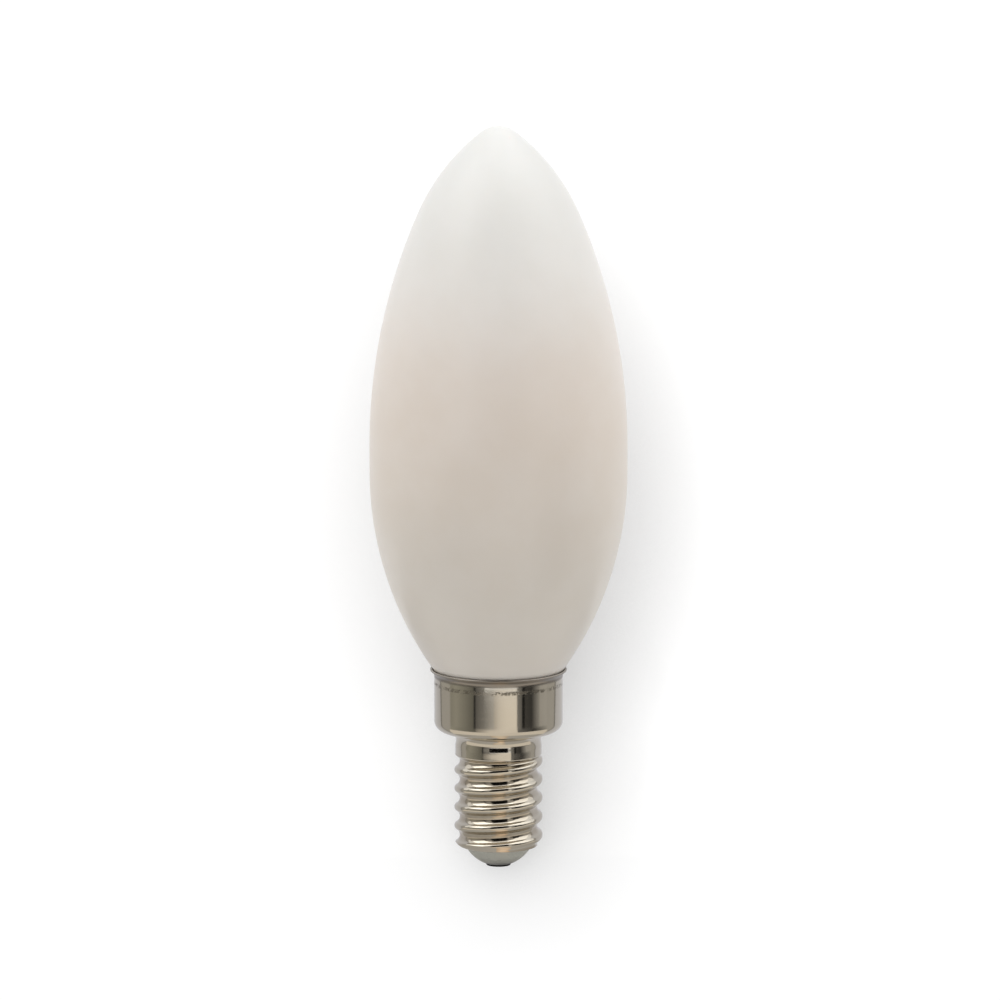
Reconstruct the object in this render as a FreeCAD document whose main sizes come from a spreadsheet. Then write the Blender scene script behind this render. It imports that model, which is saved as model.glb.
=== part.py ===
import FreeCAD, Part
import math
import os

import Sketcher

# Candle bulb with a small rolled screw cap
#
# The bulb stands cap down on its centre contact. The frame's origin is the middle of that
# contact's face, +Z runs up the axis to the tip of the glass, and someone who looks at the
# front stands on the -Y side. Every length is in millimetres.
#
# It has four pieces: the sealed opal glass, the cap that is drawn and rolled from one sheet,
# the button that insulates the contact from the cap, and the riveted contact itself.

SIZES = {
    # the bulb as a whole
    "overall_length": 100.0,
    # the glass, whose outline is a chain of arcs that meet without a corner
    "glass_radius": 17.2,
    "belt_bottom": 53.6,
    "belt_height": 3.4,
    "flank_fullness": 1.16,
    "shoulder_curve": 28.0,
    "tip_curve": 3.8,
    "neck_blend_curve": 1.6,
    "neck_edge_curve": 0.7,
    "neck_sink": 0.7,
    "neck_clearance": 0.12,
    # the sheet that the cap is drawn from, and the turned-in foot that holds the button
    "sheet_wall": 0.3,
    "foot_height": 2.63,
    "lip_radius": 4.62,
    "foot_bend": 1.15,
    # the plain neck between the thread and the collar
    "plain_neck_radius": 5.73,
    "neck_start": 15.3,
    "neck_taper": 0.4,
    "shoulder_drop": 0.5,
    "shoulder_rise": 0.05,
    "neck_bend": 1.3,
    # the collar, its raised band and its flared mouth
    "collar_floor": 18.4,
    "collar_radius": 8.6,
    "collar_bend": 1.05,
    "band_bottom": 24.85,
    "band_height": 0.9,
    "band_proud": 0.08,
    "band_slope": 0.15,
    "mouth_corner": 26.2,
    "mouth_bend": 0.7,
    "mouth_reach": 0.6,
    "mouth_rise": 0.46,
    # the rolled thread, right-handed
    "thread_pitch": 2.54,
    "crest_radius": 5.93,
    "root_radius": 5.2,
    "crest_land": 0.3,
    "groove_low_centre": 0.31,
    "groove_turns": 6.45,
    "hollow_low_centre": 4.12,
    "hollow_turns": 3.9,
    # the insulating button
    "dome_curve": 5.0,
    "button_clearance": 0.1,
    "flange_clearance": 0.1,
    "button_top": 4.5,
    # the contact
    "contact_radius": 1.64,
    "contact_height": 0.25,
    "contact_edge": 0.1,
    "contact_ledge": 0.06,
    "shank_radius": 0.75,
    "shank_clearance": 0.03,
    "shank_top": 5.4,
    "shank_chamfer": 0.2,
}

GROOVE_FLATS = 5        # flats that follow the round of the thread's groove
TOOL_OVERSHOOT = 0.3    # how far a cutting profile reaches out of the sheet


class Length:
    """A length worked out from the sheet of sizes: its number, and the formula that binds it."""

    def __init__(self, number, formula):
        self.number = number
        self.formula = formula

    def joined(self, sign, other, number):
        text = other.formula if isinstance(other, Length) else str(other)
        return Length(number, f"({self.formula} {sign} {text})")

    def __add__(self, other):
        return self.joined("+", other, self.number + number_of(other))

    def __sub__(self, other):
        return self.joined("-", other, self.number - number_of(other))

    def __mul__(self, other):
        return self.joined("*", other, self.number * number_of(other))

    def __truediv__(self, other):
        return self.joined("/", other, self.number / number_of(other))


def number_of(length):
    return length.number if isinstance(length, Length) else length


def hypotenuse(one, other):
    """The long side over two lengths at a right angle."""
    text = f"sqrt({one.formula} ^ 2 + {other.formula} ^ 2)"
    return Length(math.hypot(one.number, other.number), text)


class SizeSheet:
    """The document's sheet, read by name: sheet.collar_radius is a Length."""

    def __init__(self, doc):
        cells = doc.addObject("Spreadsheet::Sheet", "Sizes")
        for row, (name, value) in enumerate(SIZES.items(), start=1):
            cells.set(f"A{row}", name)
            cells.set(f"B{row}", str(value))
            cells.setAlias(f"B{row}", name)
            setattr(self, name, Length(value, f"Sizes.{name}"))


AXIS = Length(0.0, "0")


# Sketching

def new_body(doc, name):
    body = doc.addObject("PartDesign::Body", name)
    body.Label = name
    return body


def new_sketch(body, name):
    """A sketch on the body's XZ plane: its x is the radius, its y the height."""
    plane = next(feature for feature in body.Origin.OriginFeatures if feature.Role == "XZ_Plane")
    sketch = body.newObject("Sketcher::SketchObject", name)
    sketch.AttachmentSupport = [(plane, "")]
    sketch.MapMode = "FlatFace"
    return sketch


def vector(radius, height):
    return FreeCAD.Vector(number_of(radius), number_of(height), 0)


def bind(sketch, kind, *target):
    """A dimension whose last argument is the length that drives it."""
    length = target[-1]
    index = sketch.addConstraint(Sketcher.Constraint(kind, *target[:-1], length.number))
    sketch.setExpression(f"Constraints[{index}]", length.formula)


def place_point(sketch, shape, end, radius, height):
    """Holds a point of the sketch at its radius from the axis and its height."""
    for kind, axis, length in (("DistanceX", -2, radius), ("DistanceY", -1, height)):
        if length is AXIS:
            sketch.addConstraint(Sketcher.Constraint("PointOnObject", shape, end, axis))
        else:
            bind(sketch, kind, -1, 1, shape, end, length)


def bend_points(before, corner, after, bend):
    """The tangent points and the centre of an arc that rounds a corner, and whether it turns left."""
    back = (before - corner).normalize()
    ahead = (after - corner).normalize()
    half = back.getAngle(ahead) / 2
    reach = bend / math.tan(half)
    centre = corner + (back + ahead).normalize() * (bend / math.sin(half))
    turns_left = back.cross(ahead).z < 0
    return corner + back * reach, corner + ahead * reach, centre, turns_left


def arc_between(centre, bend, start, end):
    """An arc that runs anticlockwise about its centre from start to end."""
    first = math.atan2(start.y - centre.y, start.x - centre.x)
    last = math.atan2(end.y - centre.y, end.x - centre.x)
    if last < first:
        last += 2 * math.pi
    circle = Part.Circle(centre, FreeCAD.Vector(0, 0, 1), bend)
    return Part.ArcOfCircle(circle, first, last)


def draw_outline(sketch, corners):
    """A closed outline of straight runs. A corner is (radius, height), or has its bend as a third."""
    count = len(corners)
    places = [vector(corner[0], corner[1]) for corner in corners]
    bends = [corner[2] if len(corner) > 2 else None for corner in corners]
    rounds = {
        i: bend_points(places[i - 1], places[i], places[(i + 1) % count], bends[i].number)
        for i in range(count) if bends[i]
    }
    runs = []
    for i in range(count):
        follower = (i + 1) % count
        start = rounds[i][1] if i in rounds else places[i]
        end = rounds[follower][0] if follower in rounds else places[follower]
        runs.append(sketch.addGeometry(Part.LineSegment(start, end), False))
    for i, corner in enumerate(corners):
        before, after = runs[i - 1], runs[i]
        if i not in rounds:
            sketch.addConstraint(Sketcher.Constraint("Coincident", before, 2, after, 1))
            place_point(sketch, after, 1, corner[0], corner[1])
            continue
        first, last, centre, turns_left = rounds[i]
        ends = (1, 2) if turns_left else (2, 1)
        start, end = (first, last) if turns_left else (last, first)
        arc = sketch.addGeometry(arc_between(centre, bends[i].number, start, end), False)
        sketch.addConstraint(Sketcher.Constraint("Tangent", before, 2, arc, ends[0]))
        sketch.addConstraint(Sketcher.Constraint("Tangent", arc, ends[1], after, 1))
        bind(sketch, "Radius", arc, bends[i])
        point = sketch.addGeometry(Part.Point(places[i]), True)
        sketch.addConstraint(Sketcher.Constraint("PointOnObject", point, 1, before))
        sketch.addConstraint(Sketcher.Constraint("PointOnObject", point, 1, after))
        place_point(sketch, point, 1, corner[0], corner[1])


def turn(body, sketch, name):
    """Turns a sketch once round the bulb's axis."""
    feature = body.newObject("PartDesign::Revolution", name)
    feature.Profile = sketch
    feature.ReferenceAxis = (sketch, ["V_Axis"])
    feature.Angle = 360
    return feature


def cut_helix(body, sketch, name, pitch, turns):
    """Cuts a profile along a right-hand helix round the bulb's axis."""
    feature = body.newObject("PartDesign::SubtractiveHelix", name)
    feature.Profile = sketch
    feature.ReferenceAxis = (sketch, ["V_Axis"])
    feature.HasBeenEdited = True
    feature.Mode = "pitch-turns-angle"
    feature.setExpression("Pitch", pitch.formula)
    feature.setExpression("Turns", turns.formula)
    return feature


# The glass

def belt_top(s):
    """The glass keeps its full width over a short belt, and narrows above and below it."""
    return s.belt_bottom + s.belt_height


def upper_flank_curve(s):
    """The flattest curve that still reaches the tip's rounding, made fuller by a share."""
    narrowing = s.glass_radius - s.tip_curve
    rise = s.overall_length - s.tip_curve - belt_top(s)
    squares = s.glass_radius * s.glass_radius - s.tip_curve * s.tip_curve + rise * rise
    return squares / (narrowing * 2) * s.flank_fullness


def neck_top(s):
    """The height, a little below the mouth, where the straight glass neck ends."""
    return s.mouth_corner - s.neck_sink


def lower_flank_curve(s):
    """The curve that brings the belt down to the neck by the neck's top."""
    narrowing = s.glass_radius - neck_radius(s)
    drop = s.belt_bottom - neck_top(s)
    squares = narrowing * narrowing + drop * drop
    return squares / (narrowing * 2) - s.neck_blend_curve


def glass_arcs(s):
    """The centres of the outline's arcs, and the points where one arc passes into the next."""
    below, above = vector(s.glass_radius, s.belt_bottom), vector(s.glass_radius, belt_top(s))
    lower_curve, upper_curve = lower_flank_curve(s).number, upper_flank_curve(s).number
    shoulder_curve, tip_curve = s.shoulder_curve.number, s.tip_curve.number

    lower = FreeCAD.Vector(below.x - lower_curve, below.y, 0)
    upper = FreeCAD.Vector(above.x - upper_curve, above.y, 0)
    tip = FreeCAD.Vector(0, s.overall_length.number - tip_curve, 0)

    # the shoulder's centre is a known way from the upper flank's centre and from the tip's
    span = tip - upper
    to_shoulder = upper_curve - shoulder_curve
    tip_to_shoulder = shoulder_curve - tip_curve
    cosine = (to_shoulder ** 2 + span.Length ** 2 - tip_to_shoulder ** 2) / (2 * to_shoulder * span.Length)
    heading = math.atan2(span.y, span.x) - math.acos(cosine)
    shoulder = upper + FreeCAD.Vector(math.cos(heading), math.sin(heading), 0) * to_shoulder

    # the blend hangs outside the glass, between the straight neck and the lower flank
    blend = vector(neck_radius(s) + s.neck_blend_curve, neck_top(s))

    centres = {"blend": blend, "lower": lower, "upper": upper, "shoulder": shoulder, "tip": tip}
    joins = {
        "neck": FreeCAD.Vector(neck_radius(s).number, blend.y, 0),
        "flank": lower + (blend - lower).normalize() * lower_curve,
        "below": below,
        "above": above,
        "shoulder": shoulder + (shoulder - upper).normalize() * shoulder_curve,
        "tip": shoulder + (tip - shoulder).normalize() * shoulder_curve,
        "apex": FreeCAD.Vector(0, s.overall_length.number, 0),
    }
    return centres, joins


def neck_radius(s):
    """The glass neck slips into the collar's bore."""
    return s.collar_radius - s.sheet_wall - s.neck_clearance


def collar_seat(s):
    """The upper face of the collar's floor, on which the glass neck stands."""
    return s.collar_floor + s.sheet_wall


def make_glass(doc, s):
    """The sealed opal bulb: one blown piece, closed at the neck that is cemented in the collar."""
    body = new_body(doc, "glass_envelope")
    sketch = new_sketch(body, "glass_outline")
    centres, joins = glass_arcs(s)
    seat, neck = collar_seat(s), neck_radius(s)
    foot = vector(AXIS, seat)
    edge = bend_points(foot, vector(neck, seat), joins["neck"], s.neck_edge_curve.number)

    def arc(centre, curve, start, end):
        return sketch.addGeometry(arc_between(centre, curve.number, start, end), False)

    base = sketch.addGeometry(Part.LineSegment(foot, edge[0]), False)
    rounding = arc(edge[2], s.neck_edge_curve, edge[0], edge[1])
    wall = sketch.addGeometry(Part.LineSegment(edge[1], joins["neck"]), False)
    blend = arc(centres["blend"], s.neck_blend_curve, joins["flank"], joins["neck"])
    lower = arc(centres["lower"], lower_flank_curve(s), joins["flank"], joins["below"])
    belt = sketch.addGeometry(Part.LineSegment(joins["below"], joins["above"]), False)
    upper = arc(centres["upper"], upper_flank_curve(s), joins["above"], joins["shoulder"])
    shoulder = arc(centres["shoulder"], s.shoulder_curve, joins["shoulder"], joins["tip"])
    tip = arc(centres["tip"], s.tip_curve, joins["tip"], joins["apex"])
    middle = sketch.addGeometry(Part.LineSegment(joins["apex"], foot), False)

    passes = [
        (base, 2, rounding, 1), (rounding, 2, wall, 1), (wall, 2, blend, 2),
        (blend, 1, lower, 1), (lower, 2, belt, 1), (belt, 2, upper, 1),
        (upper, 2, shoulder, 1), (shoulder, 2, tip, 1),
    ]
    for one, one_end, other, other_end in passes:
        sketch.addConstraint(Sketcher.Constraint("Tangent", one, one_end, other, other_end))
    sketch.addConstraint(Sketcher.Constraint("Coincident", tip, 2, middle, 1))
    sketch.addConstraint(Sketcher.Constraint("Coincident", middle, 2, base, 1))
    sketch.addConstraint(Sketcher.Constraint("Horizontal", base))
    sketch.addConstraint(Sketcher.Constraint("Vertical", wall))
    sketch.addConstraint(Sketcher.Constraint("PointOnObject", tip, 3, -2))
    place_point(sketch, base, 1, AXIS, seat)
    bind(sketch, "DistanceX", -1, 1, wall, 1, neck)
    sketch.addConstraint(Sketcher.Constraint("Vertical", belt))
    place_point(sketch, belt, 1, s.glass_radius, s.belt_bottom)
    bind(sketch, "DistanceY", -1, 1, belt, 2, belt_top(s))
    place_point(sketch, middle, 1, AXIS, s.overall_length)
    for shape, curve in (
        (rounding, s.neck_edge_curve), (blend, s.neck_blend_curve), (lower, lower_flank_curve(s)),
        (upper, upper_flank_curve(s)), (shoulder, s.shoulder_curve), (tip, s.tip_curve),
    ):
        bind(sketch, "Radius", shape, curve)
    turn(body, sketch, "blown_glass")
    return body


# The screw cap

def mouth_line(s, depth):
    """The corner and the end of the flared mouth on a surface that lies depth inside the sheet."""
    slant = hypotenuse(s.mouth_reach, s.mouth_rise)
    half_turn = (slant - s.mouth_rise) / s.mouth_reach
    corner = (s.collar_radius - depth, s.mouth_corner + depth * half_turn)
    end = (
        s.collar_radius + s.mouth_reach - depth * s.mouth_rise / slant,
        s.mouth_corner + s.mouth_rise + depth * s.mouth_reach / slant,
    )
    return corner, end


def band_side(s, depth):
    """The raised band on one face of the sheet, from its foot up."""
    wall, top = s.collar_radius - depth, s.band_bottom + s.band_height
    return [
        (wall, s.band_bottom),
        (wall + s.band_proud, s.band_bottom + s.band_slope),
        (wall + s.band_proud, top - s.band_slope),
        (wall, top),
    ]


def tube_outline(s):
    """The section of the stretch that takes the thread, from the turned-in foot to the neck."""
    bore = s.root_radius - s.sheet_wall
    thread_top = s.neck_start - s.neck_taper
    return [
        (s.lip_radius, s.foot_height),
        (s.crest_radius, s.foot_height, s.foot_bend),
        (s.crest_radius, thread_top),
        (s.plain_neck_radius, s.neck_start),
        (bore, s.neck_start),
        (bore, s.foot_height + s.sheet_wall),
        (s.lip_radius, s.foot_height + s.sheet_wall),
    ]


def collar_outline(s):
    """The section of the neck and the collar: up the sheet's outer face and down its inner one."""
    wall = s.sheet_wall
    no_depth = wall * 0
    outer_corner, outer_end = mouth_line(s, no_depth)
    inner_corner, inner_end = mouth_line(s, wall)
    bore = s.root_radius - wall
    shoulder = s.neck_start - s.shoulder_drop
    outer = [
        (bore, shoulder),
        (s.root_radius, shoulder),
        (s.plain_neck_radius, s.neck_start + s.shoulder_rise),
        (s.plain_neck_radius, s.collar_floor, s.neck_bend),
        (s.collar_radius, s.collar_floor, s.collar_bend),
        *band_side(s, no_depth),
        (*outer_corner, s.mouth_bend),
        outer_end,
    ]
    inner = [
        inner_end,
        (*inner_corner, s.mouth_bend + wall),
        *reversed(band_side(s, wall)),
        (s.collar_radius - wall, collar_seat(s), s.collar_bend - wall),
        (s.plain_neck_radius - wall, collar_seat(s), s.neck_bend + wall),
        (s.plain_neck_radius - wall, s.neck_start + s.shoulder_rise + wall),
        (bore, s.neck_start + wall),
    ]
    return outer + inner


def groove_profile(s, centre):
    """The thread's groove across the helix, as flats along the wave of the rolled sheet."""
    depth = s.crest_radius - s.root_radius
    half_width = (s.thread_pitch - s.crest_land) / 2
    steps = [2 * i / GROOVE_FLATS - 1 for i in range(GROOVE_FLATS + 1)]
    corners = []
    for step in steps[1:-1]:
        rise = (1 - math.cos(math.pi * step)) / 2
        corners.append((s.root_radius + depth * rise, centre + half_width * step))
    outside = s.crest_radius + TOOL_OVERSHOOT
    return [
        (outside, centre - half_width), (s.crest_radius, centre - half_width),
        *corners,
        (s.crest_radius, centre + half_width), (outside, centre + half_width),
    ]


def hollow_profile(s, centre):
    """The hollow that the sheet leaves behind each crest, on the cap's inner side."""
    narrow = s.crest_land / 2
    wide = (s.thread_pitch - s.crest_land) / 2
    bore = s.root_radius - s.sheet_wall
    inside = bore - TOOL_OVERSHOOT
    crest = s.crest_radius - s.sheet_wall
    return [
        (inside, centre - wide), (bore, centre - wide), (crest, centre - narrow),
        (crest, centre + narrow), (bore, centre + wide), (inside, centre + wide),
    ]


def make_shell(doc, s):
    """The cap: drawn from one sheet, flared at the mouth, threaded and turned in at the foot."""
    body = new_body(doc, "screw_shell")
    tube = new_sketch(body, "tube_section")
    draw_outline(tube, tube_outline(s))
    turn(body, tube, "drawn_tube")

    groove = new_sketch(body, "groove_section")
    draw_outline(groove, groove_profile(s, s.groove_low_centre))
    cut_helix(body, groove, "rolled_groove", s.thread_pitch, s.groove_turns)

    hollow = new_sketch(body, "hollow_section")
    draw_outline(hollow, hollow_profile(s, s.hollow_low_centre))
    cut_helix(body, hollow, "crest_hollow", s.thread_pitch, s.hollow_turns)

    collar = new_sketch(body, "collar_section")
    draw_outline(collar, collar_outline(s))
    turn(body, collar, "drawn_collar")
    return body


# The insulating button and the contact

def make_insulator(doc, s):
    """The button: a domed face below the cap's lip, and a flange that rests on the lip inside."""
    body = new_body(doc, "insulator")
    sketch = new_sketch(body, "button_section")
    hole = s.shank_radius + s.shank_clearance
    flat = s.contact_radius + s.contact_ledge
    through_lip = s.lip_radius - s.button_clearance
    flange = s.root_radius - s.sheet_wall - s.flange_clearance
    flange_seat = s.foot_height + s.sheet_wall
    seat = s.contact_height

    curve = s.dome_curve.number
    centre_height = seat.number + math.sqrt(curve ** 2 - flat.number ** 2)
    dome_centre = FreeCAD.Vector(0, centre_height, 0)
    dome_drop = math.sqrt(curve ** 2 - through_lip.number ** 2)
    dome_end = FreeCAD.Vector(through_lip.number, centre_height - dome_drop, 0)
    places = [
        dome_end, vector(through_lip, flange_seat), vector(flange, flange_seat),
        vector(flange, s.button_top), vector(hole, s.button_top), vector(hole, seat), vector(flat, seat),
    ]
    runs = [
        sketch.addGeometry(Part.LineSegment(start, end), False)
        for start, end in zip(places, places[1:])
    ]
    dome = sketch.addGeometry(arc_between(dome_centre, curve, places[-1], dome_end), False)
    for before, after in zip(runs, runs[1:]):
        sketch.addConstraint(Sketcher.Constraint("Coincident", before, 2, after, 1))
    sketch.addConstraint(Sketcher.Constraint("Coincident", runs[-1], 2, dome, 1))
    sketch.addConstraint(Sketcher.Constraint("Coincident", dome, 2, runs[0], 1))
    sketch.addConstraint(Sketcher.Constraint("PointOnObject", dome, 3, -2))
    sketch.addConstraint(Sketcher.Constraint("Vertical", runs[0]))
    bind(sketch, "Radius", dome, s.dome_curve)
    corners = [
        (through_lip, flange_seat), (flange, flange_seat), (flange, s.button_top),
        (hole, s.button_top), (hole, seat), (flat, seat),
    ]
    for run, (radius, height) in zip(runs, corners):
        place_point(sketch, run, 2, radius, height)
    turn(body, sketch, "moulded_button")
    return body


def make_contact(doc, s):
    """The contact: a flat head against the button, and a shank that goes up through it."""
    body = new_body(doc, "centre_contact")
    sketch = new_sketch(body, "contact_section")
    draw_outline(sketch, [
        (AXIS, AXIS),
        (s.contact_radius, AXIS, s.contact_edge),
        (s.contact_radius, s.contact_height),
        (s.shank_radius, s.contact_height),
        (s.shank_radius, s.shank_top - s.shank_chamfer),
        (s.shank_radius - s.shank_chamfer, s.shank_top),
        (AXIS, s.shank_top),
    ])
    turn(body, sketch, "riveted_contact")
    return body


def check(doc, bodies):
    """Stops where a feature failed, a sketch is loose or a piece isn't one sound solid."""
    for thing in doc.Objects:
        if "Invalid" in thing.State or "Error" in thing.State:
            raise RuntimeError(f"{thing.Name} failed: {thing.State}")
    for body in bodies:
        shape = body.Shape
        if shape.isNull() or not shape.isValid() or len(shape.Solids) != 1:
            raise RuntimeError(f"{body.Label} is not one valid solid")
        print(f"{body.Label}: {shape.Volume:.1f} mm3, {len(shape.Faces)} faces")


def main():
    doc = FreeCAD.newDocument("candle_bulb")
    s = SizeSheet(doc)
    doc.recompute()
    bodies = [make_glass(doc, s), make_shell(doc, s), make_insulator(doc, s), make_contact(doc, s)]
    doc.recompute()
    check(doc, bodies)
    os.makedirs("parts", exist_ok=True)
    for body in bodies:
        body.Shape.exportStep(f"parts/{body.Label}.step")


main()
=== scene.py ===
# %% [markdown]
# # A candle bulb, from its drawn cap to its opal glass
#
# The bulb has four pieces: a blown opal glass, a screw cap drawn and rolled from one nickel-plated
# sheet, a grey insulating button and a flat contact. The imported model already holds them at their
# real size, so this lesson remakes each one finely enough to look at closely, in the same place.
# A piece that is round about the bulb's axis is a lathe job: one outline, turned once round.

# %% Load the frame
import math

import bpy
import numpy as np
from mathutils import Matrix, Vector


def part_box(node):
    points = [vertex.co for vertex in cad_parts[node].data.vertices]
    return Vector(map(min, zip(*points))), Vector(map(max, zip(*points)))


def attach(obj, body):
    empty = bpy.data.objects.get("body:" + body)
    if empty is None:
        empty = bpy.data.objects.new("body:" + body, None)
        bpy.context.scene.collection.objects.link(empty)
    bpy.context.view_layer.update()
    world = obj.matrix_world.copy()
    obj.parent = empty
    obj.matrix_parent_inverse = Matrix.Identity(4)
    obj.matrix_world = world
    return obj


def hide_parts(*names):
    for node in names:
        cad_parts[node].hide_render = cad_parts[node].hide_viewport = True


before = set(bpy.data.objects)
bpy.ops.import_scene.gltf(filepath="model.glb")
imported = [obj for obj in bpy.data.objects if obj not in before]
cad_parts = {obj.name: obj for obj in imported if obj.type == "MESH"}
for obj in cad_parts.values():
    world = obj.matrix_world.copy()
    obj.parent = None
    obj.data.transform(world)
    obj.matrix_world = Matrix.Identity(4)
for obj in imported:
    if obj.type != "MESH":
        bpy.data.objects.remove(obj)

scene = bpy.context.scene
MM = 0.001
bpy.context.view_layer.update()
glass_low, glass_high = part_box("glass_envelope")
shell_low, shell_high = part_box("screw_shell")
print("the bulb stands", round(glass_high[2] / MM, 2), "mm high on its contact")
print("its cap is", round((shell_high[2] - shell_low[2]) / MM, 2), "mm long")

# %% [markdown]
# ## Outlines
#
# An outline could be typed as a long list of points. It is better kept as the few corners that a
# draughtsman would dimension, each with the radius that rounds it: the arcs are then worked out,
# and can be as fine as the close-up needs. Every corner below is (radius, height, bend) in
# millimetres, and the last number may be left out where the corner is sharp.

# %% Turn corners into an outline
ARC_STEP = math.radians(7)      # how finely an arc is divided


def unit(vector):
    return vector / np.linalg.norm(vector)


def arc_points(centre, start, end, step=ARC_STEP):
    """Points on the short arc about centre from start to end."""
    first = math.atan2(*(start - centre)[::-1])
    sweep = (math.atan2(*(end - centre)[::-1]) - first + math.pi) % (2 * math.pi) - math.pi
    count = max(2, math.ceil(abs(sweep) / step))
    radius = np.linalg.norm(start - centre)
    angles = first + sweep * np.linspace(0, 1, count + 1)
    return [centre + radius * np.array([math.cos(a), math.sin(a)]) for a in angles]


def rounded(corners):
    """The outline through a list of corners, with each bend drawn as an arc."""
    places = [np.array(corner[:2], float) for corner in corners]
    outline = []
    for i, corner in enumerate(corners):
        if len(corner) < 3:
            outline.append(places[i])
            continue
        back = unit(places[i - 1] - places[i])
        ahead = unit(places[(i + 1) % len(corners)] - places[i])
        half = math.acos(np.clip(back @ ahead, -1, 1)) / 2
        reach = corner[2] / math.tan(half)
        centre = places[i] + unit(back + ahead) * corner[2] / math.sin(half)
        outline += arc_points(centre, places[i] + back * reach, places[i] + ahead * reach)
    return outline


def divided(outline, step, below=math.inf):
    """The same outline, with each straight run that starts below a height cut to that step."""
    fine = [outline[0]]
    for start, end in zip(outline, outline[1:]):
        length = np.linalg.norm(end - start)
        pieces = max(1, math.ceil(length / step)) if start[1] < below else 1
        fine += [start + (end - start) * k / pieces for k in range(1, pieces + 1)]
    return fine


# %% [markdown]
# ## The lathe
#
# Blender's Screw modifier could spin the outline too. A few lines that write the rings directly
# give the same mesh with no doubled seam, and a point on the axis becomes one pole vertex, not a
# ring of doubles. The outlines run anticlockwise in the (radius, height) plane, so faces that are
# wound the way below look outwards.

# %% Turn an outline round the axis
AROUND = 224            # stretches in one turn of a big piece
ON_AXIS = 1e-6          # a point with a smaller radius than this lies on the axis


def lathe(name, outline, around=AROUND, closed=False):
    """A mesh turned from an outline in millimetres. An end on the axis becomes a single pole."""
    turn_angles = np.arange(around) * 2 * math.pi / around
    vertices, rings = [], []
    for radius, height in outline:
        if radius < ON_AXIS:
            rings.append([len(vertices)] * around)
            vertices.append((0, 0, height * MM))
            continue
        rings.append(list(range(len(vertices), len(vertices) + around)))
        vertices += [
            (radius * MM * math.cos(a), radius * MM * math.sin(a), height * MM) for a in turn_angles
        ]
    pairs = list(zip(rings, rings[1:]))
    if closed:
        pairs.append((rings[-1], rings[0]))
    faces = []
    for below, above in pairs:
        for i in range(around):
            j = (i + 1) % around
            corners = [below[i], below[j], above[j], above[i]]
            faces.append([c for k, c in enumerate(corners) if c != corners[k - 1]])
    mesh = bpy.data.meshes.new(name)
    mesh.from_pydata(vertices, [], faces)
    mesh.validate()
    mesh.shade_smooth()
    piece = bpy.data.objects.new(name, mesh)
    scene.collection.objects.link(piece)
    print(name, len(mesh.vertices), "vertices,", sum(len(f) - 2 for f in faces), "triangles")
    return piece


# %% [markdown]
# ## The glass
#
# A torpedo bulb is blown into a mould whose outline is a chain of arcs, with a short parallel belt
# where it is widest. Each arc runs into the next with no corner, so the reflections glide over the
# joints. Two arcs with one tangent there have their centres and the joint in a line, and that is
# all the geometry this cell needs: the shoulder's centre lies a known way from the flank's centre
# and a known way from the tip's.

# %% Blow the glass
GLASS_RADIUS = glass_high[0] / MM
TIP_HEIGHT = glass_high[2] / MM
SEAT_HEIGHT = glass_low[2] / MM
BELT_BOTTOM, BELT_TOP, FULLNESS = 53.6, 57.0, 1.16
SHOULDER, TIP = 28.0, 3.8
NECK_RADIUS, NECK_TOP, NECK_BLEND, NECK_EDGE = 8.18, 25.5, 1.6, 0.7
GLASS_STEP = math.radians(1.1)
SHOULDER_STEP, TIP_STEP = GLASS_STEP * 1.5, GLASS_STEP * 4
FOOT_RUN, NECK_RUN, BELT_RUN = 1.5, 1.0, 1.2        # straight runs are cut to these lengths


def flank_curves():
    """The lower flank comes down to the neck, and the upper one is a little fuller than a chord."""
    narrowing, drop = GLASS_RADIUS - NECK_RADIUS, BELT_BOTTOM - NECK_TOP
    lower = (narrowing ** 2 + drop ** 2) / (2 * narrowing) - NECK_BLEND
    rise = TIP_HEIGHT - TIP - BELT_TOP
    upper = (GLASS_RADIUS ** 2 - TIP ** 2 + rise ** 2) / (2 * (GLASS_RADIUS - TIP)) * FULLNESS
    return lower, upper


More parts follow.
